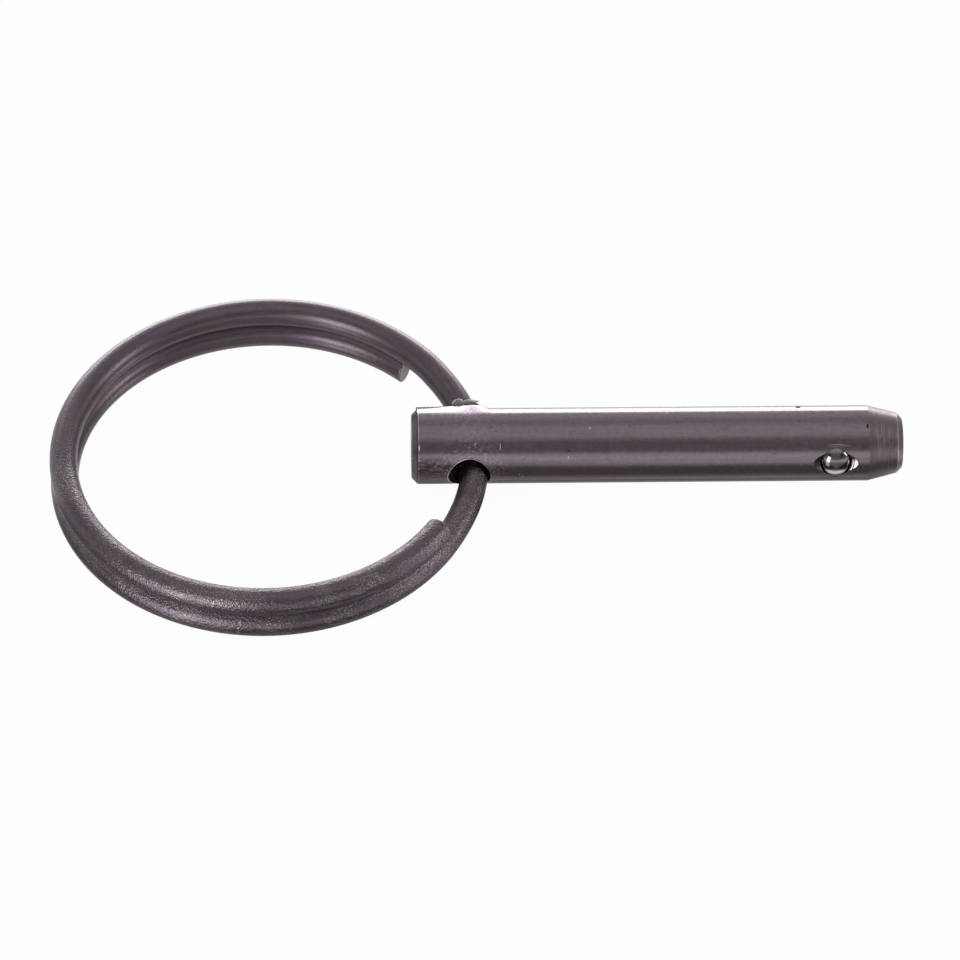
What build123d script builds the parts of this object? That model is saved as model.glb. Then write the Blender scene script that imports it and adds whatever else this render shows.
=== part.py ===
from build123d import *
import os
from math import asin, atan, cos, degrees, log, pi, radians, sin, sqrt, tan

# A quick-release pin lying on a flat surface, with its split ring beside its head.
# Millimetres and degrees. The origin is the centre of the head's flat face. The pin's axis
# is X, and its tip points along +X. Z is up. The surface is half a pin diameter below.

# Pin
pin_diameter = 6.35
pin_length = 41.3
head_chamfer = 0.5
taper_length = 2.45
taper_angle = 14.5
tip_chamfer = 0.45

# Split ring of round wire, wound in two layers
ring_inner_diameter = 31.7
wire_diameter = 2.33
layer_gap = 0.04
lower_end_angle = 45.5
upper_end_angle = 327.4
lower_cut_slant = 19
end_round = 0.12
jog_margin = 3.5
jog_bow = 0.48
jog_bow_place = 0.46
jog_points = 9

# Cross-hole for the ring, and how the wire lies in it
cross_hole_from_head = 4.8
wire_play = 1.26
wire_clearance = 0.13
wire_bearing = 62
ring_slide = 1.475

# Ball, its blind bore and its staked lip
ball_diameter = 3.175
ball_clearance = 0.0375
ball_from_tip = 5.73
ball_round_from_hole = 22.2
lip_opening = 2.64
lip_thickness = 0.12
stake_mark_diameter = 3.79
stake_depth = 0.12
bore_depth = 4.6
drill_point_angle = 118

# Spring under the ball
spring_wire = 0.28
spring_side_gap = 0.25
spring_turns = 5
spring_end_gap = 0.03

pin_radius = pin_diameter / 2
wire_radius = wire_diameter / 2
ball_radius = ball_diameter / 2
bore_radius = ball_radius + ball_clearance
lip_radius = lip_opening / 2
stake_radius = stake_mark_diameter / 2
cross_hole_radius = (wire_diameter + wire_play) / 2
ring_radius = ring_inner_diameter / 2 + wire_radius
layer_pitch = wire_diameter + layer_gap

# The single strand between the two ends climbs from the lower layer to the upper one.
jog_start = upper_end_angle + jog_margin
jog_end = 360 + lower_end_angle - jog_margin
jog_sweep = jog_end - jog_start
bow_skew = log(1 / 2) / log(jog_bow_place)


def climb(share):
    """The smooth share of the climb done at a share of the way along the jog."""
    return share * share * (3 - 2 * share)


def strand_point(angle):
    """A point on the middle of the climbing strand, in the ring's own frame."""
    share = (angle - jog_start) / jog_sweep
    reach = ring_radius + jog_bow * sin(pi * share**bow_skew) ** 2
    turn = radians(angle)
    return Vector(reach * cos(turn), reach * sin(turn), layer_pitch * climb(share))


# The pin has rolled until its cross-hole lines up with the climbing strand.
steepest_climb = 1.5
cross_hole_tilt = degrees(atan(steepest_climb * layer_pitch / (ring_radius * radians(jog_sweep))))
hole_direction = Vector(0, cos(radians(cross_hole_tilt)), sin(radians(cross_hole_tilt)))
ball_tilt = ball_round_from_hole - cross_hole_tilt
ball_direction = Vector(0, -cos(radians(ball_tilt)), sin(radians(ball_tilt)))

# The wire lies low in the cross-hole, and a little towards the tip.
wire_offset = cross_hole_radius - wire_radius - wire_clearance
wire_drop = wire_offset * cos(radians(wire_bearing))
wire_side = wire_offset * sin(radians(wire_bearing))
strand_in_hole = strand_point(360 + degrees(asin(ring_slide / ring_radius)))

# The ring's far side lies on the surface, and the cross-hole lifts its near side a little.
ring_lift = pin_radius - wire_radius - wire_drop - strand_in_hole.Z
ring_tilt = degrees(asin(ring_lift / (ring_radius + strand_in_hole.X)))
lift_slope = radians(ring_tilt)
strand_reach = strand_in_hole.X * cos(lift_slope) - strand_in_hole.Z * sin(lift_slope)
ring_centre = Vector(
    cross_hole_from_head + wire_side - strand_reach,
    -ring_slide,
    -pin_radius + wire_radius + ring_radius * sin(lift_slope),
)

# Heights along the ball's bore, measured outwards from the pin's axis
lip_top = pin_radius - stake_depth
lip_under = lip_top - lip_thickness
ball_height = lip_under - sqrt(bore_radius**2 - lip_radius**2)
bore_end = pin_radius - bore_depth
drill_point = bore_end - bore_radius / tan(radians(drill_point_angle / 2))
above_pin = pin_radius + bore_radius

# The spring's coil runs from the end of the bore up to the ball's underside.
coil_radius = bore_radius - spring_side_gap - spring_wire / 2
coil_to_ball = ball_radius + spring_wire / 2 + spring_end_gap
coil_top = ball_height - sqrt(coil_to_ball**2 - coil_radius**2)
coil_height = coil_top - bore_end


def hole_plane(distance, direction):
    """A plane on the pin's axis, with its normal along a hole's direction."""
    return Plane(origin=(distance, 0, 0), x_dir=(1, 0, 0), z_dir=direction)


ball_plane = hole_plane(pin_length - ball_from_tip, ball_direction)


def turned_pin():
    """The pin as it leaves the lathe, before any hole is drilled."""
    taper_end = pin_length - tip_chamfer
    tip_radius = pin_radius - taper_length * tan(radians(taper_angle))
    outline = Polyline(
        (0, 0),
        (0, pin_radius - head_chamfer),
        (head_chamfer, pin_radius),
        (taper_end - taper_length, pin_radius),
        (taper_end, tip_radius),
        (pin_length, tip_radius - tip_chamfer),
        (pin_length, 0),
        close=True,
    )
    return revolve(make_face(outline), Axis.X)


def cross_hole():
    """The cutter for the ring's cross-hole, right through the pin."""
    return hole_plane(cross_hole_from_head, hole_direction) * Cylinder(cross_hole_radius, 2 * pin_diameter)


def ball_bore():
    """The cutter for the ball's bore: drill point, straight wall, rounded seat and lip."""
    below_lip = Polyline((0, drill_point), (bore_radius, bore_end), (bore_radius, ball_height))
    seat_angle = degrees(asin((lip_under - ball_height) / bore_radius))
    seat = CenterArc((0, ball_height), bore_radius, 0, seat_angle)
    above_lip = Polyline(
        (lip_radius, lip_under),
        (lip_radius, lip_top),
        (stake_radius, pin_radius),
        (stake_radius, above_pin),
        (0, above_pin),
        (0, drill_point),
    )
    profile = make_face([*below_lip.edges(), seat.edge(), *above_lip.edges()])
    return ball_plane * revolve(Plane.XZ * profile, Axis.Z)


def pin_body():
    """The finished pin."""
    return turned_pin() - cross_hole() - ball_bore()


def detent_ball():
    """The ball, held under the lip."""
    return ball_plane * Pos(0, 0, ball_height) * Sphere(ball_radius)


def detent_spring():
    """The compression spring under the ball."""
    coil = Helix(pitch=coil_height / spring_turns, height=coil_height, radius=coil_radius)
    wire = Plane(origin=coil @ 0, z_dir=coil % 0) * Circle(spring_wire / 2)
    return ball_plane * Pos(0, 0, bore_end) * sweep(wire, path=coil, is_frenet=True)


def flat_layer(start_angle, sweep_angle, height):
    """A flat arc of the ring's wire."""
    upright_circle = Plane.XZ * Circle(wire_radius)
    wire = Rot(0, 0, start_angle) * Pos(ring_radius, 0, height) * upright_circle
    return revolve(wire, Axis.Z, revolution_arc=sweep_angle)


def climbing_strand():
    """The single strand that climbs from the lower layer to the upper one."""
    angles = [jog_start + jog_sweep * step / (jog_points - 1) for step in range(jog_points)]
    level_ends = [Vector(-sin(radians(a)), cos(radians(a)), 0) for a in (jog_start, jog_end)]
    path = Spline([strand_point(a) for a in angles], tangents=level_ends)
    wire = Plane(origin=path @ 0, z_dir=path % 0) * Circle(wire_radius)
    return sweep(wire, path=path)


def wire_middle(angle, height):
    """The middle of a flat layer's wire, in the ring's own frame."""
    turn = radians(angle)
    return Vector(ring_radius * cos(turn), ring_radius * sin(turn), height)


def slanted_lower_layer():
    """The lower layer, cut off at a slant at its free end."""
    # It starts twice as far out as the slant reaches, so that the cut goes right through.
    beyond_cut = 2 * degrees(wire_radius * tan(radians(lower_cut_slant)) / ring_radius)
    start_angle = lower_end_angle - beyond_cut
    layer = flat_layer(start_angle, jog_start - start_angle, 0)
    heading = radians(lower_end_angle - 90 + lower_cut_slant)
    off_cut = Plane(origin=wire_middle(lower_end_angle, 0), z_dir=(cos(heading), sin(heading), 0))
    return layer - off_cut * Pos(0, 0, wire_radius) * Cylinder(wire_diameter, wire_diameter)


def round_cut_end(layer, angle, height):
    """A layer with the edge of its cut end face rounded."""
    middle = wire_middle(angle, height)
    cut_face = layer.faces().filter_by(GeomType.PLANE).sort_by_distance(middle)[0]
    return fillet(cut_face.edges(), end_round)


def split_ring():
    """The whole ring: lower layer, climbing strand and upper layer."""
    lower = round_cut_end(slanted_lower_layer(), lower_end_angle, 0)
    upper = flat_layer(jog_end, 360 + upper_end_angle - jog_end, layer_pitch)
    upper = round_cut_end(upper, upper_end_angle, layer_pitch)
    ring = lower + climbing_strand() + upper
    return Pos(*ring_centre) * Rot(0, -ring_tilt, 0) * ring


pieces = {
    "pin_body": pin_body(),
    "detent_ball": detent_ball(),
    "detent_spring": detent_spring(),
    "split_ring": split_ring(),
}

os.makedirs("parts", exist_ok=True)
for name, piece in pieces.items():
    export_step(piece, f"parts/{name}.step")
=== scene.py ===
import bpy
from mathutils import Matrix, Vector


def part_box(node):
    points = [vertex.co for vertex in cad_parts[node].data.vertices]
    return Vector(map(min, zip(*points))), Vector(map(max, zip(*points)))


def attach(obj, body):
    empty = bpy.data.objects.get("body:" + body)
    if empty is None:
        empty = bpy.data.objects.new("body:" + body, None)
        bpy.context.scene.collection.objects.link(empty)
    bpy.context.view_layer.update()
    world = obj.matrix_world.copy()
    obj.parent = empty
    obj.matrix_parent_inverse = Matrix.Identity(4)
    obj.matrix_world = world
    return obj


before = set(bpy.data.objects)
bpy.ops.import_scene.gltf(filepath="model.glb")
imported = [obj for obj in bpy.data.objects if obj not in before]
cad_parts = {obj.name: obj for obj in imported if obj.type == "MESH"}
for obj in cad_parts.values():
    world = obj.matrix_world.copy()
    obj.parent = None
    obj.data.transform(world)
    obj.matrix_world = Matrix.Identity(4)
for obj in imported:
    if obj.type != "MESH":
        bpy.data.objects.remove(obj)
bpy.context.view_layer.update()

from math import asin, cos, degrees, radians, sin, sqrt
from random import Random

import bmesh
import bpy
from bpy.props import FloatProperty, FloatVectorProperty, IntProperty, PointerProperty
from mathutils import Quaternion, Vector

bl_info = {
    "name": "Quick-release pin and ring",
    "version": (1, 0, 0),
    "blender": (4, 5, 0),
    "location": "View3D > Sidebar > Pin",
    "description": "Gives the pin, its ball, its spring and its split ring their worn steel finishes",
    "category": "Object",
}

MM = 0.001

# Where the solids are, in millimetres and degrees, as the model was drawn
pin_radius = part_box("pin_body")[1].z / MM
pin_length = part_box("pin_body")[1].x / MM
head_chamfer = 0.5
taper_start = 38.4
tip_chamfer = 0.45
cross_hole_at = 4.8
cross_hole_radius = 1.795
cross_hole_tilt = 9.557
ball_from_tip = 5.73
ball_tilt = 12.643
stake_radius = 1.895
ball_radius = 1.5875
ball_height = 1.987
ring_radius = 17.015
wire_radius = 1.165
layer_pitch = 2.37
ring_tilt = 1.1048
ring_centre = Vector((-12.1614, -1.475, -1.68194))
lower_end_angle = 45.5
upper_end_angle = 327.4
lower_cut_slant = 19
climb_start = -29.1
climb_end = 42.0

hole_direction = Vector((0, cos(radians(cross_hole_tilt)), sin(radians(cross_hole_tilt))))
ball_direction = Vector((0, -cos(radians(ball_tilt)), sin(radians(ball_tilt))))


class Field:
    """A value that changes over a surface. Arithmetic on it adds the maths nodes for it."""

    def __init__(self, finish, socket):
        self.finish = finish
        self.socket = socket

    def maths(self, operation, *values):
        return self.finish.add("ShaderNodeMath", {"operation": operation}, dict(enumerate(values)))

    def __add__(self, other):
        return self.maths("ADD", self, other)

    def __radd__(self, other):
        return self.maths("ADD", other, self)

    def __sub__(self, other):
        return self.maths("SUBTRACT", self, other)

    def __rsub__(self, other):
        return self.maths("SUBTRACT", other, self)

    def __mul__(self, other):
        return self.maths("MULTIPLY", self, other)

    def __rmul__(self, other):
        return self.maths("MULTIPLY", other, self)

    def __truediv__(self, other):
        return self.maths("DIVIDE", self, other)

    def __rtruediv__(self, other):
        return self.maths("DIVIDE", other, self)

    def __pow__(self, other):
        return self.maths("POWER", self, other)

    def __abs__(self):
        return self.maths("ABSOLUTE", self)

    def __gt__(self, other):
        return self.maths("GREATER_THAN", self, other)

    def __lt__(self, other):
        return self.maths("LESS_THAN", self, other)


class Finish:
    """A surface made of nodes, for one of the steels or for the studio round them."""

    def __init__(self, owner):
        self.owner = owner
        owner.use_nodes = True
        self.tree = owner.node_tree
        self.tree.nodes.clear()

    def add(self, kind, settings, sockets, output=0):
        """One node: its settings first, then the values and links of its sockets."""
        node = self.tree.nodes.new(kind)
        for name, value in settings.items():
            setattr(node, name, value)
        for name, value in sockets.items():
            socket = node.inputs[name]
            if isinstance(value, Field):
                self.tree.links.new(value.socket, socket)
            elif socket.type == "RGBA":
                socket.default_value = (*value, 1.0)
            else:
                socket.default_value = value
        return Field(self, node.outputs[output]) if len(node.outputs) else None

    def place(self):
        """Where a point is, in millimetres, riding with the piece."""
        return [part / MM for part in self.split(self.add("ShaderNodeTexCoord", {}, {}, "Object"))]

    def split(self, vector):
        """The three parts of a vector."""
        return [self.add("ShaderNodeSeparateXYZ", {}, {0: vector}, axis) for axis in "XYZ"]

    def vector(self, x, y, z):
        return self.add("ShaderNodeCombineXYZ", {}, {0: x, 1: y, 2: z})

    def fade(self, value, low, high):
        """0 below low, 1 above high, and smooth between. It falls instead where low is above high."""
        sockets = {"Value": value, "From Min": low, "From Max": high}
        return self.add("ShaderNodeMapRange", {"interpolation_type": "SMOOTHSTEP"}, sockets)

    def band(self, value, middle, half_width, soft):
        """1 near a middle value and 0 away from it."""
        return self.fade(abs(value - middle), half_width + soft, half_width)

    def grain(self, place, fineness, shift=None):
        """Smooth noise from 0 to 1 over three or four coordinates.

        The fineness is a scale for each coordinate and then the layers of detail. A shift bends it.
        """
        *scales, detail = fineness
        point = [value * scale for value, scale in zip(place, scales)]
        if shift:
            point = [value + bend for value, bend in zip(point, shift)]
        sockets = {"Vector": self.vector(*point[:3]), "Scale": 1.0, "Detail": detail}
        if len(point) > 3:
            sockets["W"] = point[3]
        settings = {"noise_dimensions": f"{len(point)}D"}
        return self.add("ShaderNodeTexNoise", settings, sockets, "Fac")

    def mix(self, share, first, second):
        """A colour between two others."""
        sockets = {0: share, 6: first, 7: second}
        return self.add("ShaderNodeMix", {"data_type": "RGBA"}, sockets, 2)

    def scale_colour(self, colour, amount):
        """A colour made lighter or darker."""
        sockets = {0: colour, "Scale": amount}
        return self.add("ShaderNodeVectorMath", {"operation": "SCALE"}, sockets)

    def metal(self, colour, roughness, height):
        """Bare metal with its relief in millimetres."""
        relief = self.add("ShaderNodeBump", {}, {"Distance": MM, "Height": height})
        sockets = {"Base Color": colour, "Metallic": 1.0, "Roughness": roughness, "Normal": relief}
        shader = self.add("ShaderNodeBsdfPrincipled", {}, sockets)
        self.add("ShaderNodeOutputMaterial", {}, {"Surface": shader})


def new_finish(name):
    """A finish on a new material."""
    return Finish(bpy.data.materials.new(name))


def dress(node, finish):
    """Puts a finish on a solid that keeps its shape."""
    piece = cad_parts[node]
    if not piece.material_slots:
        raise RuntimeError(f"{node} has no place for its finish")
    for place in piece.material_slots:
        place.material = finish.owner


def colour_property(name, text, value):
    """A colour that a user can change."""
    return FloatVectorProperty(
        name=name, description=text, subtype="COLOR", size=3, min=0, max=1, default=value
    )


def share_property(name, text, value):
    """A share from 0 to 1 that a user can change."""
    return FloatProperty(name=name, description=text, subtype="FACTOR", min=0, max=1, default=value)


def length_property(name, text, value):
    """A length that a user can change, given here in millimetres."""
    return FloatProperty(name=name, description=text, unit="LENGTH", min=0, default=value * MM)


def angle_property(name, text, value):
    """An angle that a user can change, given here in degrees."""
    return FloatProperty(name=name, description=text, subtype="ANGLE", default=radians(value))


class PinSettings(bpy.types.PropertyGroup):
    steel: colour_property("Steel", "The ground steel of the pin", (0.150, 0.122, 0.142))
    turned: colour_property("Turned steel", "The taper and the head", (0.132, 0.110, 0.124))
    # The stake mark's colours are painted light: a painted highlight on its tip side, and painted shade
    # in the gap at the ball and on its head side
    stake_highlight: colour_property("Pressed steel", "The bright side of the stake mark", (0.36, 0.33, 0.35))
    gap: colour_property("Gap", "The dark line between the lip and the ball", (0.045, 0.036, 0.042))
    outline: colour_property("Outline", "The dark side of the stake mark", (0.05, 0.04, 0.048))
    gloss: share_property("Roughness", "Roughness of the ground steel", 0.17)


class BallSettings(bpy.types.PropertyGroup):
    steel: colour_property("Steel", "The polished steel of the ball", (0.16, 0.14, 0.155))
    # Painted light on the ball: a band of painted shade, and an underside painted pale as light from
    # below
    dark: colour_property("Dark band", "The dark band low on the ball", (0.04, 0.03, 0.036))
    underside: colour_property("Underside", "Where light comes up from below", (0.95, 0.86, 0.80))
    gloss: share_property("Roughness", "Roughness of the ball", 0.07)


class SpringSettings(bpy.types.PropertyGroup):
    steel: colour_property("Steel", "The drawn wire of the spring", (0.150, 0.122, 0.142))
    gloss: share_property("Roughness", "Roughness of the wire", 0.22)


class RingSettings(bpy.types.PropertyGroup):
    steel: colour_property("Steel", "The dark spring wire of the ring", (0.100, 0.079, 0.095))
    brown: colour_property("Brown", "The browner patches of the wire", (0.112, 0.086, 0.086))
    # The rubbed colour is wear, and also painted sparkle for the front's highlights
    rubbed: colour_property("Rubbed", "Where the wire is rubbed paler", (0.108, 0.094, 0.098))
    gloss: share_property("Roughness", "Roughness of the wire", 0.24)


class BurrSettings(bpy.types.PropertyGroup):
    steel: colour_property("Steel", "The torn metal", (0.12, 0.105, 0.11))
    tears: colour_property("Tears", "The ragged streaks in it", (0.42, 0.39, 0.40))
    # A painted highlight along the tops of the torn leaves
    top: colour_property("Top", "Its thin bright top", (0.8, 0.75, 0.77))
    gloss: share_property("Roughness", "Roughness of the torn metal", 0.2)
    thickness: length_property("Thickness", "Thickness of the torn metal", 0.08)
    strip_lean: angle_property("Lean of the strip", "How far it leans to the front", 10)
    curl_lean: angle_property("Lean of the curl", "How far it leans to the front", 6)
    seed: IntProperty(name="Seed", description="Which set of bends the torn metal has", default=7)


class StudioSettings(bpy.types.PropertyGroup):
    floor: colour_property("Floor", "Colour of the floor", (0.86, 0.86, 0.86))
    polish: colour_property("Polish", "Colour of the floor's polish", (0.95, 0.95, 0.95))
    azimuth: angle_property("Azimuth", "How far the camera stands to the right", -2.80)
    elevation: angle_property("Elevation", "How high the camera stands", 45.73)
    roll: angle_property("Roll", "How far the camera leans over", 1.5475)
    distance: length_property("Distance", "From the camera to the pin", 576.25)
    lens: FloatProperty(
        name="Lens", description="Focal length of the camera in millimetres", min=1, default=256.04
    )


class DressPin(bpy.types.Operator):
    """Ground steel on the pin, with a turned head and taper, the wear round its holes, and painted
    highlights and shade on its edges, its hole's rim and its stake mark
    """

    bl_idname = "quick_pin.dress_pin"
    bl_label = "Pin"

    # Each mark: distance from the head, degrees up round the pin from its front, half length, half width
    nicks = [
        (32.54, 120.5, 0.2, 0.33),
        (38.22, 72, 0.08, 0.2),
        (9.33, -26, 0.16, 0.03),
        (13.1, 37, 0.12, 0.05),
    ]
    # Glints are painted highlights: small spots painted bright on the steel
    glints = [
        (0.57, 43, 0.06, 0.26),
        (0.56, 23, 0.04, 0.07),
        (0.56, 9, 0.04, 0.09),
        (7.35, 43.6, 0.03, 0.3),
        (5.27, 48, 0.03, 0.1),
        (13.07, 26.6, 0.03, 0.14),
        (9.28, -10, 0.03, 0.12),
        (9.0, -5, 0.03, 0.1),
        (14.9, 72, 0.09, 0.05),
    ]

    # Each grain: how fine it is along the pin and round it both ways, and its layers of detail
    turning_grain = (9, 2.2, 2.2, 4)
    mottle_grain = (2.6, 9, 9, 5)
    blotch_grain = (0.8, 4, 4, 3)
    smear_grain = (0.16, 13, 13, 3)
    scuff_grain = (4.5, 14, 14, 6)
    lathe_grain = (8, 0.9, 0.9, 5)
    facing_grain = (12, 0.4, 0.4, 3)
    dark_speck_grain = (4, 15, 15, 2)
    pale_speck_grain = (5, 17, 17, 2)
    speck_warp = 3

    # How high a grain has to be for a mark to start and to show in full
    rubbed_level = (0.46, 0.62)
    head_scuff_level = (0.44, 0.6)
    tick_level = (0.62, 0.7)
    tick_patch_level = (0.5, 0.62)
    dark_speck_level = (0.62, 0.74)
    pale_speck_level = (0.62, 0.72)
    groove_level = (0.6, 0.66)

    # Where a nick or a glint ends and where it is full, in squares of its own half size
    mark_edge = (1.4, 0.6)

    # Lengths in millimetres. A pair is where a mark starts to show and where it shows in full.
    soft_edge = 0.02
    taper_soft = 0.03
    head_face = (0.02, 0.01)
    head_edge = 0.03
    head_crease = 0.08
    tip_edge = 0.02
    tip_edge_soft = 0.04
    tip_face = (0, 0.05)
    line = 0.03
    hole_scuffs = 2.2
    hole_wall = (0.02, 0.01)
    hole_rim = (0.09, 0.03)
    # Where the painted highlight on the hole's rim starts and is full, towards the head and towards the
    # front
    rim_highlight_side = (0.1, -0.8)
    rim_highlight_end = (0, -1)
    worn_head_side = (-0.8, -1.8)
    worn_head_height = (1.8, 1.1)
    stake_dip = (0.002, 0.012)
    stake_slope = (1.5, 1.66)
    lip_line = 1.44
    lip_line_width = 0.02
    stake_outline = 0.05
    stake_outline_width = 0.04

    def execute(self, context):
        settings = context.scene.quick_pin.pin
        finish = new_finish("ground steel")
        x, y, z = finish.place()
        radius = (y * y + z * z) ** 0.5
        turn_y, turn_z = y / radius, z / radius

        # How far a point is from each hole's axis
        along_hole = y * hole_direction.y + z * hole_direction.z
        across_hole = radius * radius - along_hole * along_hole
        hole_x = x - cross_hole_at
        from_hole = (hole_x * hole_x + across_hole) ** 0.5
        along_ball = y * ball_direction.y + z * ball_direction.z
        ball_x = x - (pin_length - ball_from_tip)
        from_ball = (ball_x * ball_x + radius * radius - along_ball * along_ball) ** 0.5

        turned = finish.fade(x, taper_start - self.taper_soft, taper_start + self.taper_soft)
        faced = finish.fade(x, *self.head_face)
        chamfered = finish.fade(x, head_chamfer + self.soft_edge, head_chamfer - self.soft_edge)
        staked = finish.fade(from_ball, stake_radius + self.soft_edge, stake_radius - self.soft_edge)
        dip_start, dip_full = self.stake_dip
        dipped = finish.fade(radius, pin_radius - dip_start, pin_radius - dip_full)
        staked = staked * (along_ball > 0) * dipped

        # The grain of the surface, finest along the pin or round it as each tool left it
        side = (x, turn_y, turn_z)
        turning = finish.grain(side, self.turning_grain)
        mottle = finish.grain(side, self.mottle_grain)
        blotch = finish.grain(side, self.blotch_grain)
        smear = finish.grain(side, self.smear_grain)
        scuff = finish.grain(side, self.scuff_grain)
        lathe = finish.grain(side, self.lathe_grain)
        facing = finish.grain((radius, turn_y, turn_z), self.facing_grain)
        warp = mottle * self.speck_warp
        dark_specks = finish.grain(side, self.dark_speck_grain, (warp, warp, 0))
        pale_specks = finish.grain(side, self.pale_speck_grain, (-1 * warp, 0, warp))

        # Wear: rubbed round the cross-hole, and a few ticks and specks elsewhere. Painted highlights
        # brighten the head's edge, the hole's rim and wall, and a spot on the rim's left front
        near_hole = finish.fade(from_hole, cross_hole_radius + self.hole_scuffs, cross_hole_radius)
        rubbed = near_hole * finish.fade(scuff, *self.rubbed_level)
        hole_wall = finish.fade(from_hole, *[cross_hole_radius + beyond for beyond in self.hole_wall])
        # The hole's rim and wall are painted brighter as light, and a painted highlight lies on the
        # rim's left front
        rim = finish.fade(from_hole, *[cross_hole_radius + beyond for beyond in self.hole_rim])
        rim_highlight = rim * (1 - hole_wall) * finish.fade(hole_x, *self.rim_highlight_side)
        rim_highlight = rim_highlight * finish.fade(along_hole, *self.rim_highlight_end)
        worn_head = finish.fade(hole_x, *self.worn_head_side) * finish.fade(z, *self.worn_head_height)
        worn_head = worn_head * (along_hole < 0)
        head_scuffs = worn_head * finish.fade(scuff, *self.head_scuff_level)
        ticks = finish.fade(turning, *self.tick_level) * finish.fade(blotch, *self.tick_patch_level)
        dark_specks = finish.fade(dark_specks, *self.dark_speck_level)
        pale_specks = finish.fade(pale_specks, *self.pale_speck_level)
        # A painted highlight along the edge of the head's chamfer
        edge = finish.band(x, head_chamfer + self.head_edge, self.line, self.line)
        crease = finish.band(x, head_chamfer - self.head_crease, self.line, self.line)
        nicks = self.marks(finish, side, self.nicks)
        # The glints are painted highlights
        glints = self.marks(finish, side, self.glints)

        # The head's edge, the hole's rim and wall, the spot on the rim and the glints are painted
        # highlights in this shade
        shade = 0.58 + mottle * 0.42 + smear * 0.3 + blotch * 0.12 + ticks * 0.3 + rubbed * 0.7
        shade = shade + head_scuffs * 0.5 + (rim + edge * turning) * 1.6 + rim_highlight * 5
        shade = shade + pale_specks * 0.22 + glints * 2.6
        shade = shade * (1 - dark_specks * 0.3) * (1 - nicks * 0.9)
        shade = shade * (1 - chamfered * 0.24) * (1 - crease * 0.5)
        steel = finish.scale_colour(settings.steel, shade)

        tip_start = pin_length - tip_chamfer
        # A painted highlight along the edge where the tip's chamfer starts
        tip_edge = finish.band(x, tip_start - self.tip_edge, self.line, self.tip_edge_soft)
        tip_face = finish.fade(x, *[tip_start + beyond for beyond in self.tip_face])
        grooves = finish.fade(lathe, *self.groove_level)
        lathed = 0.5 + lathe * 0.7 + mottle * 0.3 + grooves * 0.5 + tip_edge * 0.9
        lathed = finish.scale_colour(settings.turned, lathed * (1 - tip_face * 0.35))
        colour = finish.mix(turned, steel, lathed)
        colour = finish.mix(faced, colour, finish.scale_colour(settings.turned, 0.7 + facing * 0.5))

        # The stake mark is painted: a highlight on the tip's side with painted shade in the gap at the
        # ball, and painted shade with a dark outline on the head's side
        lip_line = finish.band(from_ball, self.lip_line, self.lip_line_width, self.line)
        stake_highlight = finish.fade(from_ball, *self.stake_slope) + lip_line * 0.7
        highlight_and_gap_shade = finish.mix(stake_highlight, settings.gap, settings.stake_highlight)
        colour = finish.mix(staked * (ball_x > 0), colour, highlight_and_gap_shade)
        width = self.stake_outline_width
        outline = finish.band(from_ball, stake_radius - self.stake_outline, width, width)
        stake_shade = staked * (ball_x < 0) * (0.3 + outline * 0.6)
        colour = finish.mix(stake_shade, colour, settings.outline)

        roughness = settings.gloss - 0.06 + mottle * 0.1 + blotch * 0.04
        roughness = roughness + (rubbed + worn_head + head_scuffs) * 0.16
        roughness = roughness + turned * 0.2 + chamfered * 0.16 + glints * 0.3 + nicks * 0.5
        height = (
            turning * 0.0014
            + mottle * 0.0045
            + scuff * near_hole * 0.006
            - ticks * 0.003
            + turned * lathe * 0.01
            + chamfered * facing * 0.01
            - rim * 0.03
            - nicks * 0.05
            + staked * (from_ball - stake_radius) * 0.26
        )
        finish.metal(colour, roughness, height)
        dress("pin_body", finish)
        return {"FINISHED"}

    def marks(self, finish, side, places):
        """1 in each of the small marks on the pin's side, and 0 elsewhere."""
        x, turn_y, turn_z = side
        marks = 0
        for mark_x, mark_angle, half_length, half_width in places:
            facing = turn_y * -cos(radians(mark_angle)) + turn_z * sin(radians(mark_angle))
            along = (x - mark_x) / half_length
            round_it = (1 - facing) * (2 * (pin_radius / half_width) ** 2)
            marks = marks + finish.fade(along * along + round_it, *self.mark_edge)
        return marks


class DressBall(bpy.types.Operator):
    """Polished steel on the ball, with painted light on its underside and a band of painted shade above
    it
    """

    bl_idname = "quick_pin.dress_ball"
    bl_label = "Ball"

    cloud_grain = (2.5, 2.5, 2.5, 4)
    mark_grain = (9, 2, 6, 4)
    mark_level = (0.6, 0.75)

    # Places on the ball, in radii from its middle, up and towards the back
    dark_band = -0.5
    dark_band_width = 0.1
    dark_band_soft = 0.14
    underside = (-0.68, -0.82)

    def execute(self, context):
        settings = context.scene.quick_pin.ball
        finish = new_finish("polished ball steel")
        x, y, z = finish.place()
        cloud = finish.grain((x, y, z), self.cloud_grain)
        marks = finish.grain((x, y, z), self.mark_grain)
        colour = finish.scale_colour(settings.steel, 0.85 + cloud * 0.3)

        # Its underside is painted pale, as light coming up from below, with a band of painted shade
        # above it
        centre = ball_direction * ball_height
        under = (z - centre.z + y - centre.y) / (ball_radius * sqrt(2))
        dark = finish.band(under, self.dark_band, self.dark_band_width, self.dark_band_soft) * 0.7
        colour = finish.mix(dark, colour, settings.dark)
        colour = finish.mix(finish.fade(under, *self.underside), colour, settings.underside)
        roughness = settings.gloss - 0.03 + cloud * 0.06 + finish.fade(marks, *self.mark_level) * 0.1
        finish.metal(colour, roughness, marks * 0.0008)
        dress("detent_ball", finish)
        return {"FINISHED"}


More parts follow.
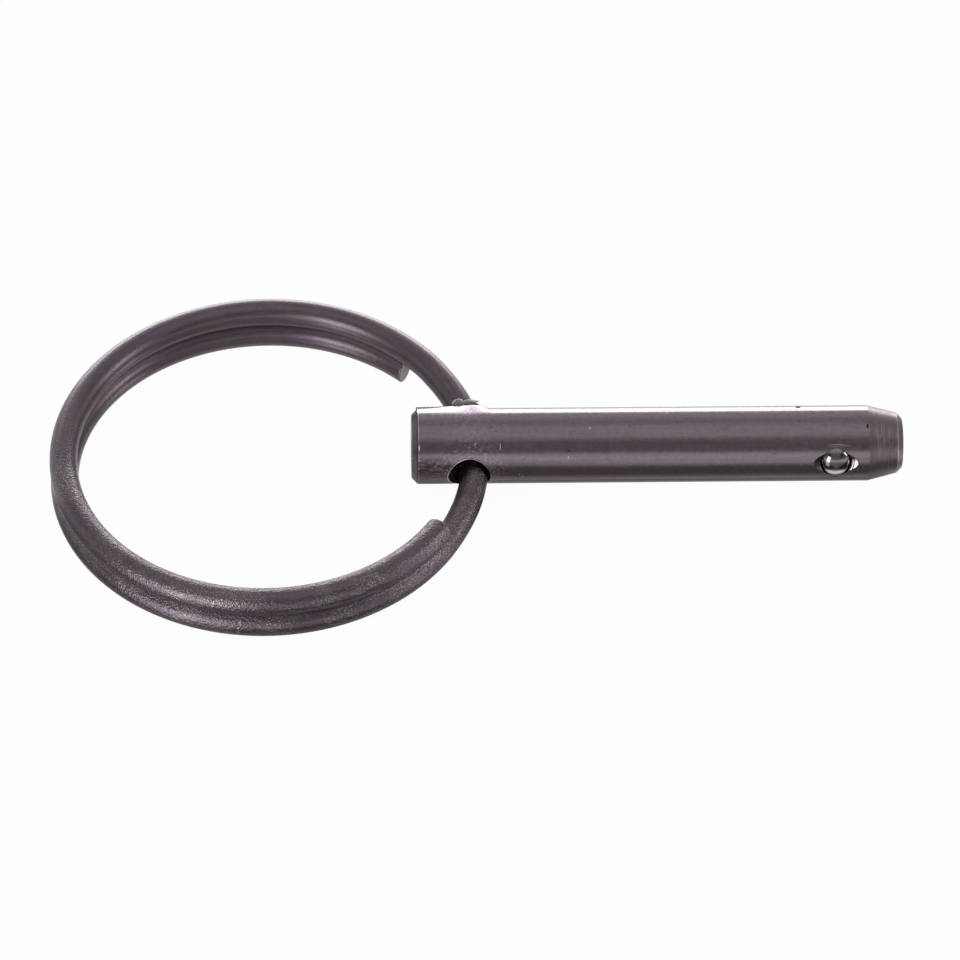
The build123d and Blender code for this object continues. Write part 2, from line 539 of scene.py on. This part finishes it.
class DressSpring(bpy.types.Operator):
    """Drawn wire on the spring under the ball"""

    bl_idname = "quick_pin.dress_spring"
    bl_label = "Spring"

    streak_grain = (3, 14, 3, 4)

    def execute(self, context):
        settings = context.scene.quick_pin.spring
        finish = new_finish("drawn spring wire")
        streaks = finish.grain(finish.place(), self.streak_grain)
        colour = finish.scale_colour(settings.steel, 0.9 + streaks * 0.7)
        finish.metal(colour, settings.gloss + streaks * 0.16, streaks * 0.003)
        dress("detent_spring", finish)
        return {"FINISHED"}


class DressRing(bpy.types.Operator):
    """Dark spring wire on the split ring, with its draw marks and pits"""

    bl_idname = "quick_pin.dress_ring"
    bl_label = "Split ring"

    # Each grain: how fine it is in each coordinate, and its layers of detail
    streak_grain = (9, 9, 6, 6, 4)
    fine_grain = (30, 30, 16, 16, 3)
    pit_grain = (5.8, 5.8, 5.8, 4)
    patch_grain = (0.55, 0.55, 0.55, 3)
    speck_grain = (10, 10, 10, 2)
    rub_grain = (0.3, 0.3, 0.8, 2)

    # How high a grain has to be for a mark to start and to show in full
    patch_level = (0.5, 0.66)
    speck_level = (0.56, 0.66)
    rub_level = (0.42, 0.6)

    # Where the front starts to be worn and is worn in full, in shares of the ring's radius towards
    # the back, and how near the seam between the layers is painted brighter, lifting its shade, in
    # millimetres
    worn_front = (0.45, -0.4)
    seam = (0.3, 0.1)

    # The painted highlights along the edges of the cut ends: millimetres from the lower cut, radians
    # from the upper one.
    # The lower one ends a few degrees past its place.
    lower_edge = (-0.06, 0.05, 0.04)
    upper_edge = (0.006, 0.003)
    lower_end_margin = 3

    def execute(self, context):
        settings = context.scene.quick_pin.ring
        finish = new_finish("dark spring wire")
        x, y, z = finish.place()

        # The same point as the ring lies, with the ring's own axis upright
        lean = radians(ring_tilt)
        level_x = (x - ring_centre.x) * cos(lean) + (z - ring_centre.z) * sin(lean)
        level_y = y - ring_centre.y
        level_z = (z - ring_centre.z) * cos(lean) - (x - ring_centre.x) * sin(lean)
        reach = (level_x * level_x + level_y * level_y) ** 0.5
        round_x, round_y = level_x / reach, level_y / reach

        # How high the middle of the wire is there: low, high, or on the climb between
        turn = level_y.maths("ARCTAN2", level_y, level_x)
        climbing = (turn > radians(climb_start)) * (turn < radians(climb_end))
        climb = finish.fade(turn, radians(climb_start), radians(climb_end))
        layer = level_z > layer_pitch / 2
        wire_height = layer_pitch * (climbing * climb + (1 - climbing) * layer)

        # Where the point is round the wire
        out = (reach - ring_radius) / wire_radius
        up = (level_z - wire_height) / wire_radius

        on_wire = (round_x, round_y, out, up)
        streaks = finish.grain(on_wire, self.streak_grain)
        fine = finish.grain(on_wire, self.fine_grain)
        pits = finish.grain((x, y, z), self.pit_grain)
        patches = finish.grain((x, y, z), self.patch_grain)
        specks = finish.fade(finish.grain((x, y, z), self.speck_grain), *self.speck_level)

        # The side towards the front is pitted and rubbed paler as wear, and its specks and rubbed colour
        # are brighter there as painted sparkle of its highlights
        worn = finish.fade(level_y, *[ring_radius * share for share in self.worn_front])
        rubbed = worn * finish.fade(finish.grain((x, y, z), self.rub_grain), *self.rub_level)
        # The seam between the layers is painted brighter, as light lifting the shade between them
        painted_seam_light = finish.fade(abs(level_z - layer_pitch / 2), *self.seam) * (1 - climbing)
        slant = radians(lower_end_angle - 90 + lower_cut_slant)
        lower_end = radians(lower_end_angle)
        past_cut = (level_x - ring_radius * cos(lower_end)) * cos(slant)
        past_cut = past_cut + (level_y - ring_radius * sin(lower_end)) * sin(slant)
        near_cut = (turn < radians(lower_end_angle + self.lower_end_margin)) * (1 - layer)
        # Painted highlights along the edges of the cut ends
        end_highlights = finish.band(past_cut, *self.lower_edge) * near_cut
        end_highlights = end_highlights + finish.band(turn, radians(upper_end_angle - 360), *self.upper_edge) * layer

        # The specks on the rubbed front are partly painted sparkle of highlights, the seam is painted
        # light, and the cut ends' edges are painted highlights
        shade = 0.58 + streaks * 0.5 + fine * 0.3 + specks * (0.25 + rubbed * 1.5)
        shade = shade + painted_seam_light * 1.8 + end_highlights * 0.8
        brown = finish.fade(patches, *self.patch_level) * (1 - worn) * 0.5
        colour = finish.mix(brown, settings.steel, settings.brown)
        colour = finish.mix(rubbed * 0.8, colour, settings.rubbed)
        colour = finish.scale_colour(colour, shade)
        roughness = settings.gloss + 0.04 + pits * 0.14 + brown * 0.04 - worn * 0.15
        height = streaks * 0.008 + fine * 0.005 + pits * (0.012 + worn * 0.06)
        finish.metal(colour, roughness, height)
        dress("split_ring", finish)
        return {"FINISHED"}


class RaiseBurr(bpy.types.Operator):
    """The torn edge where the drill came out of the pin, and the metal that swelled up round it"""

    bl_idname = "quick_pin.raise_burr"
    bl_label = "Burr"

    # How far the swelling stands above the pin, at distances from the head, in millimetres
    swelling = [(0.4, 0.13), (2.4, 0.17), (4.1, 0.26), (5.1, 0.33), (5.8, 0.29), (6.2, 0.12), (6.6, 0)]

    # Where it lies round the pin, in degrees up from the front: its front, its crest and its back
    front_angle = 106
    crest_angle = 131
    back_angle = 152
    short_of_rim = 1.2

    # How deep its edges and its foot lie in the pin, in millimetres
    edge_depth = 0.004
    foot = 0.06

    # How many steps it has along the pin and round it
    along = 60
    round_it = 26

    # The torn leaves: which way round the pin they stand, how high above it they bend over, how far
    # behind their place each of them is, and how far their points stray, in degrees and millimetres
    upright_angle = 136
    hinge = 0.33
    strip_behind = 0.06
    curl_behind = 0.09
    bend = 0.02

    # The painted highlight along the top of each leaf: where that top is highest, how high that is, and
    # how it falls away
    strip_top = (4.85, 0.75, 0.5)
    curl_top = (4.0, 0.82, 1.1)
    between_leaves = (4.34, 4.36)
    top_start = 0.13
    top_full = 0.05
    tear_grain = (9, 5, 16, 4)

    # The outlines of the strip and of the curl beside it: distance from the head, height above the pin
    strip = [
        (4.31, 0.41),
        (4.38, 0.58),
        (4.54, 0.68),
        (4.85, 0.75),
        (5.08, 0.72),
        (5.38, 0.66),
        (5.55, 0.67),
        (5.69, 0.61),
        (5.66, 0.49),
        (5.45, 0.45),
        (5.62, 0.38),
        (5.79, 0.28),
        (5.55, 0.24),
        (5.3, 0.18),
        (4.6, 0.18),
        (4.4, 0.24),
    ]
    curl = [(3.45, 0.2), (3.45, 0.48), (3.64, 0.7), (4.02, 0.82), (4.32, 0.75), (4.38, 0.5), (4.34, 0.2)]

    def execute(self, context):
        settings = context.scene.quick_pin.burr
        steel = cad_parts["pin_body"].material_slots[0].material
        torn = self.torn_steel(settings).owner
        self.swell(context, steel)
        self.leaf(context, "torn_strip", self.strip, settings.strip_lean, self.strip_behind, torn)
        self.leaf(context, "torn_curl", self.curl, settings.curl_lean, self.curl_behind, torn)
        return {"FINISHED"}

    def on_pin(self, x, angle, height):
        """A point over the pin, from its distance from the head, its angle round it and its height."""
        reach = pin_radius + height
        return Vector((x, -reach * cos(radians(angle)), reach * sin(radians(angle)))) * MM

    def rim_angle(self, x):
        """The degrees at which the cross-hole's upper rim lies on the pin."""
        beside = x - cross_hole_at
        if abs(beside) >= cross_hole_radius:
            return 180
        half_chord = sqrt(cross_hole_radius**2 - beside**2)
        return 180 - cross_hole_tilt - degrees(asin(half_chord / pin_radius))

    def swell_height(self, x):
        """How far the swelling's crest stands above the pin."""
        for (start, low), (end, high) in zip(self.swelling, self.swelling[1:]):
            if x <= end:
                share = (x - start) / (end - start)
                return low + (high - low) * share
        return 0

    def swell(self, context, steel):
        """The metal pushed up between the head and the hole, as a skin that grows out of the pin."""
        start, end = self.swelling[0][0], self.swelling[-1][0]
        mesh = bmesh.new()
        upper, lower = [], []
        for step in range(self.along + 1):
            x = start + (end - start) * step / self.along
            last_angle = min(self.back_angle, self.rim_angle(x) - self.short_of_rim)
            tops, feet = [], []
            for turn in range(self.round_it + 1):
                angle = self.front_angle + (last_angle - self.front_angle) * turn / self.round_it
                if angle < self.crest_angle:
                    share = ((angle - self.front_angle) / (self.crest_angle - self.front_angle)) ** 2
                else:
                    share = (self.back_angle - angle) / (self.back_angle - self.crest_angle)
                height = self.swell_height(x) * share - self.edge_depth
                tops.append(mesh.verts.new(self.on_pin(x, angle, height)))
                feet.append(mesh.verts.new(self.on_pin(x, angle, -self.foot)))
            upper.append(tops)
            lower.append(feet)
        self.skin(mesh, upper, lower)
        self.finish_piece(context, mesh, "hole_swelling", steel)

    def skin(self, mesh, upper, lower):
        """Closes two matching grids of points into one solid."""
        for grid in (upper, lower):
            for before, after in zip(grid, grid[1:]):
                for a, b, c, d in zip(before, before[1:], after[1:], after):
                    mesh.faces.new((a, b, c, d))
        borders = []
        for grid in (upper, lower):
            far_side = [row[-1] for row in grid[1:-1]]
            near_side = [row[0] for row in grid[1:-1]]
            borders.append([*grid[0], *far_side, *grid[-1][::-1], *near_side[::-1]])
        self.wall(mesh, *borders)

    def wall(self, mesh, first, second):
        """Faces between two closed loops of as many points."""
        for a, b, c, d in zip(first, first[1:] + first[:1], second[1:] + second[:1], second):
            mesh.faces.new((a, b, c, d))

    def leaf(self, context, name, outline, lean, behind, steel):
        """A thin torn leaf of metal, standing behind the top of the swelling."""
        settings = context.scene.quick_pin.burr
        chance = Random(settings.seed)
        half = settings.thickness / MM / 2
        rise = Vector((0, -cos(radians(self.upright_angle)), sin(radians(self.upright_angle))))
        front = Vector((1, 0, 0)).cross(rise)
        mesh = bmesh.new()
        sides = []
        ragged = [(x, height, chance.uniform(-self.bend, self.bend)) for x, height in outline]
        for side in (1, -1):
            border = []
            for x, height, bend in ragged:
                depth = (height - self.hinge) * sin(lean) - behind + bend + side * half
                point = Vector((x, 0, 0)) + rise * (pin_radius + height) + front * depth
                border.append(mesh.verts.new(point * MM))
            sides.append(border)
        for border in sides:
            mesh.faces.new(border)
        self.wall(mesh, *sides)
        bmesh.ops.triangulate(mesh, faces=mesh.faces[:])
        self.finish_piece(context, mesh, name, steel)

    def finish_piece(self, context, mesh, name, steel):
        """Makes the piece of a mesh, in its steel, and lets it ride on the pin."""
        bmesh.ops.recalc_face_normals(mesh, faces=mesh.faces)
        shape = bpy.data.meshes.new(name)
        mesh.to_mesh(shape)
        mesh.free()
        for face in shape.polygons:
            face.use_smooth = name == "hole_swelling"
        piece = bpy.data.objects.new(name, shape)
        context.scene.collection.objects.link(piece)
        piece.data.materials.append(steel)
        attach(piece, "pin")

    def torn_steel(self, settings):
        """Torn metal with a fine ragged grain, and a painted highlight along its tops."""
        finish = new_finish("torn steel")
        x, y, z = finish.place()
        tears = finish.grain((x, y, z), self.tear_grain)
        colour = finish.mix(tears, settings.steel, settings.tears)

        # The tops of the strip and of the curl get a thin painted highlight
        height = (y * y + z * z) ** 0.5 - pin_radius
        curl_end, strip_start = self.between_leaves
        on_curl = finish.fade(x, strip_start, curl_end) * self.leaf_top(x, *self.curl_top)
        top = on_curl + finish.fade(x, curl_end, strip_start) * self.leaf_top(x, *self.strip_top)
        bright = finish.fade(height, top - self.top_start, top - self.top_full)
        colour = finish.mix(bright * 0.8, colour, settings.top)
        finish.metal(colour, settings.gloss + tears * 0.25, tears * 0.03)
        return finish

    def leaf_top(self, x, middle, highest, fall):
        """How high a torn leaf stands, which falls away from its middle."""
        return highest - (x - middle) * (x - middle) * fall


class SetStage(bpy.types.Operator):
    """The white floor, the lamps, the surroundings and the camera"""

    bl_idname = "quick_pin.set_stage"
    bl_label = "Studio"

    # Each lamp: how far round it stands and how high, in degrees, its width and height, its brightness
    lamps = {
        "rear softbox": (180, 6.6, 0.46, 0.112, 5.0),
        "right softbox": (83, 23, 0.13, 0.17, 4.2),
        "left softbox": (-42, 15, 0.17, 0.27, 5.0),
    }
    lamp_distance = 0.45
    lamp_power = 4

    # The floor's radius in metres, its sides, and how far below the pin it lies in millimetres
    floor_radius = 2.0
    floor_sides = 96
    floor_gap = 0.01

    # Where the floor is bright in the metal, in millimetres: away from the ring and from the line of
    # the pin, close under each of them, behind the pin, and inside the ring's front half, there as a
    # squared reach. No point counts as nearer to the pin's line than the margin.
    axis_margin = 0.5
    lit_gap = (6, 25)
    pin_contact = (4.0, 1.9)
    ring_contact = (1.8, 1.1)
    behind_pin = (2, 5)
    inside_reach_squared = (150, 105)
    inside_front = (0, -5)

    # How much of the floor is plain white to the camera, and how much is polish in a reflection
    seen_white = 0.965
    reflected_polish = 0.58

    # The strips of the surroundings, in degrees up from the front, over the top and down to the back,
    # and the darker sides, in shares of the way across and of the way up
    low_front = (27, 13)
    high_front = (75, 53)
    high_back = (98, 118)
    low_back = (145, 122)
    side_share = (0.3, 0.7)
    height_share = (0.35, 0.6)

    # The camera looks at this point on the floor, in millimetres
    aim = (5.80, -0.92)
    sensor_width = 36

    def execute(self, context):
        settings = context.scene.quick_pin.studio
        self.lay_floor(context, settings)
        self.light_surroundings(context)
        for name, lamp in self.lamps.items():
            self.hang_lamp(context, name, *lamp)
        self.stand_camera(context, settings)
        return {"FINISHED"}

    def lay_floor(self, context, settings):
        """A wide pale polished sheet, which keeps the shadow and looks white to the camera."""
        mesh = bmesh.new()
        bmesh.ops.create_circle(mesh, cap_ends=True, segments=self.floor_sides, radius=self.floor_radius)
        shape = bpy.data.meshes.new("floor")
        mesh.to_mesh(shape)
        mesh.free()
        floor = bpy.data.objects.new("floor", shape)
        floor.location.z = -(pin_radius + self.floor_gap) * MM
        context.scene.collection.objects.link(floor)
        finish = new_finish("white polished sheet")
        seen, reflected = self.rays(finish)
        glow = seen + (1 - seen) * self.reflected_glow(finish)

        sheet_sockets = {"Base Color": settings.floor, "Roughness": 0.5}
        sheet = finish.add("ShaderNodeBsdfPrincipled", {}, sheet_sockets)
        glow_colour = finish.scale_colour((1, 1, 1), glow)
        white = finish.add("ShaderNodeEmission", {}, {"Color": glow_colour, "Strength": 1.0})
        polish = finish.add("ShaderNodeBsdfGlossy", {}, {"Color": settings.polish, "Roughness": 0.06})
        white_share = seen * self.seen_white + reflected
        pale = finish.add("ShaderNodeMixShader", {}, {0: white_share, 1: sheet, 2: white})
        polish_share = reflected * self.reflected_polish
        surface = finish.add("ShaderNodeMixShader", {}, {0: polish_share, 1: pale, 2: polish})
        finish.add("ShaderNodeOutputMaterial", {}, {"Surface": surface})
        finish.owner.cycles.emission_sampling = "NONE"
        floor.data.materials.append(finish.owner)

    def reflected_glow(self, finish):
        """How bright the floor is where the metal mirrors it, in shade near the pin and the ring."""
        x, y, z = finish.place()
        beside_pin = (y * y + self.axis_margin**2) ** 0.5
        ring_x, ring_y = x - ring_centre.x, y - ring_centre.y
        reach_squared = ring_x * ring_x + ring_y * ring_y
        beside_ring = abs(reach_squared**0.5 - ring_radius)
        gap = beside_pin.maths("MINIMUM", beside_pin, beside_ring)
        contact = finish.fade(beside_pin, *self.pin_contact) * 0.95
        contact = contact + finish.fade(beside_ring, *self.ring_contact) * 0.5
        inside_ring = finish.fade(reach_squared, *self.inside_reach_squared)
        inside_ring = inside_ring * finish.fade(ring_y, *self.inside_front)
        lit = finish.fade(gap, *self.lit_gap)
        lit = lit.maths("MAXIMUM", lit, finish.fade(y, *self.behind_pin) * 0.85)
        lit = lit.maths("MAXIMUM", lit, inside_ring * 0.9)
        return 0.05 + 0.95 * lit + contact

    def rays(self, finish):
        """Whether a ray comes from the camera, and whether a mirror or glass sent it on."""
        seen = finish.add("ShaderNodeLightPath", {}, {}, "Is Camera Ray")
        glossy = finish.add("ShaderNodeLightPath", {}, {}, "Is Glossy Ray")
        through = finish.add("ShaderNodeLightPath", {}, {}, "Is Transmission Ray")
        return seen, (1 - seen) * glossy.maths("MAXIMUM", glossy, through)

    def light_surroundings(self, context):
        """White all round to the camera. The metal sees paler and darker strips along the pin."""
        world = bpy.data.worlds.new("studio")
        context.scene.world = world
        finish = Finish(world)
        seen, reflected = self.rays(finish)
        direction = finish.add("ShaderNodeTexCoord", {}, {}, "Generated")
        across, back, rise = finish.split(direction)
        over = rise.maths("ARCTAN2", rise, -1 * back) * degrees(1)
        front_strip = finish.fade(over, *self.low_front)
        front_gap = finish.fade(over, *self.low_front[::-1]) * finish.fade(over, *self.high_front)
        rear_gap = finish.fade(over, *self.high_back) * finish.fade(over, *self.low_back)
        sides = finish.fade(abs(across), *self.side_share) * finish.fade(rise, *self.height_share)
        around = 1.04 + front_strip * 0.34 - front_gap * 0.62 - rear_gap * 0.3 - sides * 0.35
        strength = seen + (1 - seen) * (reflected * around + (1 - reflected) * 0.7)
        white = finish.add("ShaderNodeBackground", {}, {"Color": (1, 1, 1), "Strength": strength})
        finish.add("ShaderNodeOutputWorld", {}, {"Surface": white})

    def direction(self, turn, rise):
        """Which way something lies that stands so far round from the front and so high."""
        return Vector((sin(turn) * cos(rise), -cos(turn) * cos(rise), sin(rise)))

    def hang_lamp(self, context, name, azimuth, elevation, width, height, brightness):
        """A soft box of a given brightness, facing the pin and out of the camera's sight."""
        towards = self.direction(radians(azimuth), radians(elevation))
        lamp = bpy.data.lights.new(name, "AREA")
        lamp.shape = "RECTANGLE"
        lamp.size, lamp.size_y = width, height
        lamp.energy = self.lamp_power * width * height * brightness
        holder = bpy.data.objects.new(name, lamp)
        holder.location = towards * self.lamp_distance
        holder.rotation_mode = "QUATERNION"
        holder.rotation_quaternion = towards.to_track_quat("Z", "Y")
        holder.visible_camera = False
        context.scene.collection.objects.link(holder)

    def stand_camera(self, context, settings):
        """The camera where the photograph was taken from."""
        back = self.direction(settings.azimuth, settings.elevation)
        aim = Vector((*self.aim, -pin_radius)) * MM
        view = bpy.data.cameras.new("camera")
        view.lens = settings.lens
        view.sensor_width = self.sensor_width
        camera = bpy.data.objects.new("camera", view)
        camera.location = aim + back * settings.distance
        camera.rotation_mode = "QUATERNION"
        camera.rotation_quaternion = back.to_track_quat("Z", "Y") @ Quaternion((0, 0, 1), settings.roll)
        context.scene.collection.objects.link(camera)
        context.scene.camera = camera
        context.scene.view_settings.view_transform = "Standard"


class PinPanel(bpy.types.Panel):
    """The finishes of the pin, each with its sizes and colours"""

    bl_idname = "VIEW3D_PT_quick_pin"
    bl_label = "Quick-release pin"
    bl_space_type = "VIEW_3D"
    bl_region_type = "UI"
    bl_category = "Pin"

    def draw(self, context):
        settings = context.scene.quick_pin
        for operator, group in steps:
            box = self.layout.box()
            box.operator(operator.bl_idname)
            for name in getattr(settings, group).__annotations__:
                box.prop(getattr(settings, group), name)


class QuickPinSettings(bpy.types.PropertyGroup):
    pin: PointerProperty(type=PinSettings)
    ball: PointerProperty(type=BallSettings)
    spring: PointerProperty(type=SpringSettings)
    ring: PointerProperty(type=RingSettings)
    burr: PointerProperty(type=BurrSettings)
    studio: PointerProperty(type=StudioSettings)


steps = [
    (DressPin, "pin"),
    (DressBall, "ball"),
    (DressSpring, "spring"),
    (DressRing, "ring"),
    (RaiseBurr, "burr"),
    (SetStage, "studio"),
]
groups = [
    PinSettings,
    BallSettings,
    SpringSettings,
    RingSettings,
    BurrSettings,
    StudioSettings,
    QuickPinSettings,
]


def register():
    for group in groups:
        bpy.utils.register_class(group)
    for operator, _ in steps:
        bpy.utils.register_class(operator)
    bpy.utils.register_class(PinPanel)
    bpy.types.Scene.quick_pin = PointerProperty(type=QuickPinSettings)


def unregister():
    del bpy.types.Scene.quick_pin
    bpy.utils.unregister_class(PinPanel)
    for operator, _ in reversed(steps):
        bpy.utils.unregister_class(operator)
    for group in reversed(groups):
        bpy.utils.unregister_class(group)


def main():
    register()
    bpy.ops.quick_pin.dress_pin()
    bpy.ops.quick_pin.dress_ball()
    bpy.ops.quick_pin.dress_spring()
    bpy.ops.quick_pin.dress_ring()
    bpy.ops.quick_pin.raise_burr()
    bpy.ops.quick_pin.set_stage()


if __name__ == "__main__":
    main()
